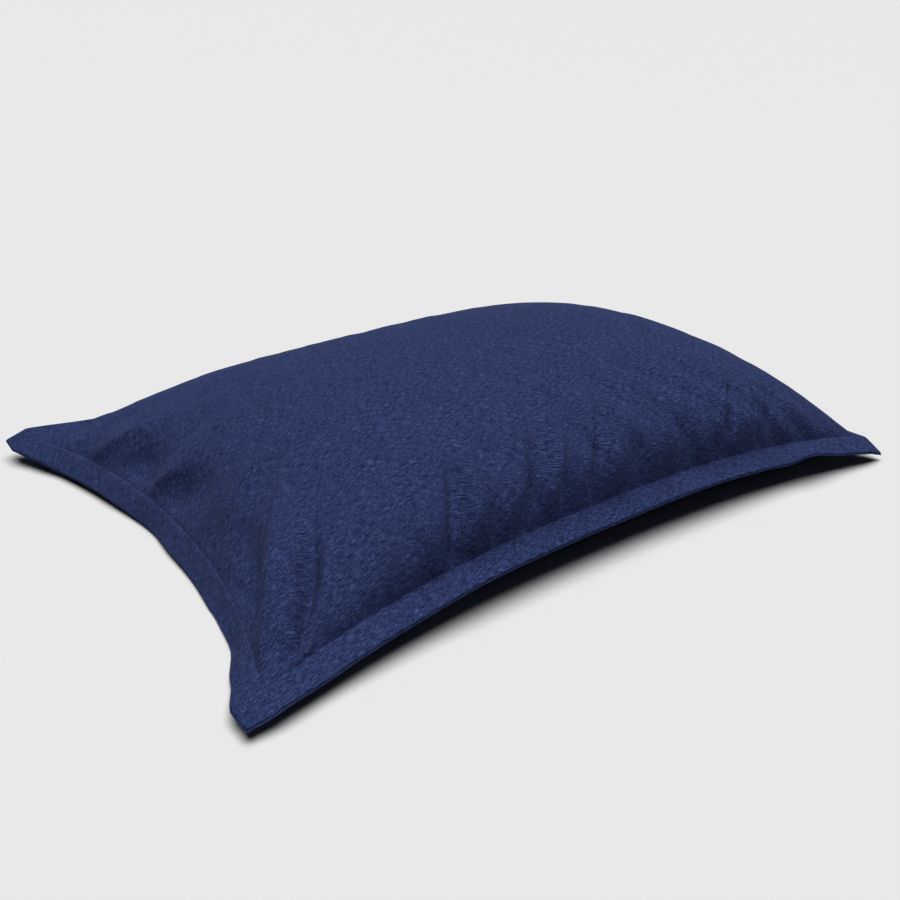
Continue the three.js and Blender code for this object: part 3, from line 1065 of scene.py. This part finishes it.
class BeanBagFinish(bpy.types.PropertyGroup):
    yarn_spacing: bpy.props.FloatProperty(
        name="Yarn spacing",
        description="Distance between the yarns of the weave as it is drawn",
        default=YARN_SPACING * MM,
        min=0.0005,
        max=0.01,
        unit="LENGTH",
        subtype="DISTANCE",
    )
    yarn_colour: colour_property("Yarn", "Main colour of the cloth", "#1B2345")
    dark_fibre: colour_property("Dark fibre", "Darkest fibres in the yarn", "#0B1023")
    pale_fibre: colour_property("Pale fibre", "Palest fibres in the yarn", "#36446B")
    thread_colour: colour_property("Thread", "Colour of the stitching", "#1F2747")


class BeanBagStudio(bpy.types.PropertyGroup):
    floor_colour: colour_property("Floor", "Colour of the floor", "#B3B3B3")
    overhead_strength: bpy.props.FloatProperty(
        name="Overhead light",
        description="Strength of the soft light overhead, in watts per square metre",
        default=OVERHEAD_STRENGTH,
        min=0.0,
    )
    overhead_width: bpy.props.FloatProperty(
        name="Overhead width",
        description="How wide the overhead light looks from below: wider is softer",
        default=math.radians(OVERHEAD_WIDTH),
        min=0.0,
        max=math.pi,
        subtype="ANGLE",
        unit="ROTATION",
    )
    fill_strength: bpy.props.FloatProperty(
        name="Fill",
        description="Strength of the even light from all round",
        default=FILL_STRENGTH,
        min=0.0,
    )


class BEANBAG_OT_bag(bpy.types.Operator):
    """Make the filled bag: both panels and the flange, as one closed surface"""

    bl_idname = "beanbag.bag"
    bl_label = "Filled bag"

    def execute(self, context):
        points, faces, uv = bag_surface(context.scene.bean_bag_shape)
        bag = mesh_object("bag_cloth", points - CENTRE, faces, uv)
        bag.data.materials.append(melange_canvas(context.scene.bean_bag_finish))
        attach(bag, "root")
        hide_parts("filled_bag")
        return {"FINISHED"}


class BEANBAG_OT_stitching(bpy.types.Operator):
    """Make the row of stitching between the bag and its flange"""

    bl_idname = "beanbag.stitching"
    bl_label = "Stitching"

    def execute(self, context):
        points, faces = stitches(context.scene.bean_bag_shape)
        thread = mesh_object("flange_stitching", points - CENTRE, faces)
        thread.data.materials.append(sewing_thread(context.scene.bean_bag_finish))
        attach(thread, "root")
        return {"FINISHED"}


class BEANBAG_OT_studio(bpy.types.Operator):
    """Make the floor, the lights and the camera"""

    bl_idname = "beanbag.studio"
    bl_label = "Studio"

    def execute(self, context):
        scene, studio = context.scene, context.scene.bean_bag_studio
        floor = mesh_object("paper_floor", *paper_sweep())
        floor.data.materials.append(matt_paper(studio.floor_colour))

        world = bpy.data.worlds.new("studio")
        world.use_nodes = True
        sky = world.node_tree.nodes["Background"]
        sky.inputs["Color"].default_value = (1.0, 1.0, 1.0, 1.0)
        sky.inputs["Strength"].default_value = studio.fill_strength
        scene.world = world
        scene.view_settings.view_transform = "Standard"
        overhead = bpy.data.lights.new("overhead", "SUN")
        overhead.energy = studio.overhead_strength
        overhead.angle = studio.overhead_width
        lamp = bpy.data.objects.new("overhead", overhead)
        lamp.rotation_euler = Vector(OVERHEAD_FROM).to_track_quat("Z", "Y").to_euler()
        scene.collection.objects.link(lamp)

        camera = bpy.data.cameras.new("camera")
        camera.sensor_width = SENSOR_WIDTH
        camera.lens = CAMERA_FOCAL_PIXELS * SENSOR_WIDTH / FRAME_PIXELS
        camera.clip_end = 4 * FLOOR_RADIUS * MM
        azimuth, elevation = math.radians(CAMERA_AZIMUTH), math.radians(CAMERA_ELEVATION)
        back = Vector(
            (
                math.sin(azimuth) * math.cos(elevation),
                -math.cos(azimuth) * math.cos(elevation),
                math.sin(elevation),
            )
        )
        target = Vector((np.array(CAMERA_TARGET) - CENTRE) * MM)
        stand = bpy.data.objects.new("camera", camera)
        stand.location = target + back * CAMERA_DISTANCE * MM
        stand.rotation_euler = (-back).to_track_quat("-Z", "Y").to_euler()
        scene.collection.objects.link(stand)
        scene.camera = stand
        return {"FINISHED"}


class BEANBAG_PT_sidebar(bpy.types.Panel):
    bl_idname = "BEANBAG_PT_sidebar"
    bl_label = "Giant floor bean bag"
    bl_space_type = "VIEW_3D"
    bl_region_type = "UI"
    bl_category = "Bean Bag"

    def draw(self, context):
        scene = context.scene
        for title, group, operators in (
            ("Shape", scene.bean_bag_shape, (BEANBAG_OT_bag, BEANBAG_OT_stitching)),
            ("Finish", scene.bean_bag_finish, ()),
            ("Studio", scene.bean_bag_studio, (BEANBAG_OT_studio,)),
        ):
            box = self.layout.box()
            box.label(text=title)
            for name in group.__annotations__:
                box.prop(group, name)
            for operator in operators:
                box.operator(operator.bl_idname)


CLASSES = (
    BeanBagShape,
    BeanBagFinish,
    BeanBagStudio,
    BEANBAG_OT_bag,
    BEANBAG_OT_stitching,
    BEANBAG_OT_studio,
    BEANBAG_PT_sidebar,
)


def register():
    for cls in CLASSES:
        bpy.utils.register_class(cls)
    bpy.types.Scene.bean_bag_shape = bpy.props.PointerProperty(type=BeanBagShape)
    bpy.types.Scene.bean_bag_finish = bpy.props.PointerProperty(type=BeanBagFinish)
    bpy.types.Scene.bean_bag_studio = bpy.props.PointerProperty(type=BeanBagStudio)


def unregister():
    del bpy.types.Scene.bean_bag_studio
    del bpy.types.Scene.bean_bag_finish
    del bpy.types.Scene.bean_bag_shape
    for cls in reversed(CLASSES):
        bpy.utils.unregister_class(cls)


def main():
    register()
    bpy.ops.beanbag.bag()
    bpy.ops.beanbag.stitching()
    bpy.ops.beanbag.studio()


if __name__ == "__main__":
    main()
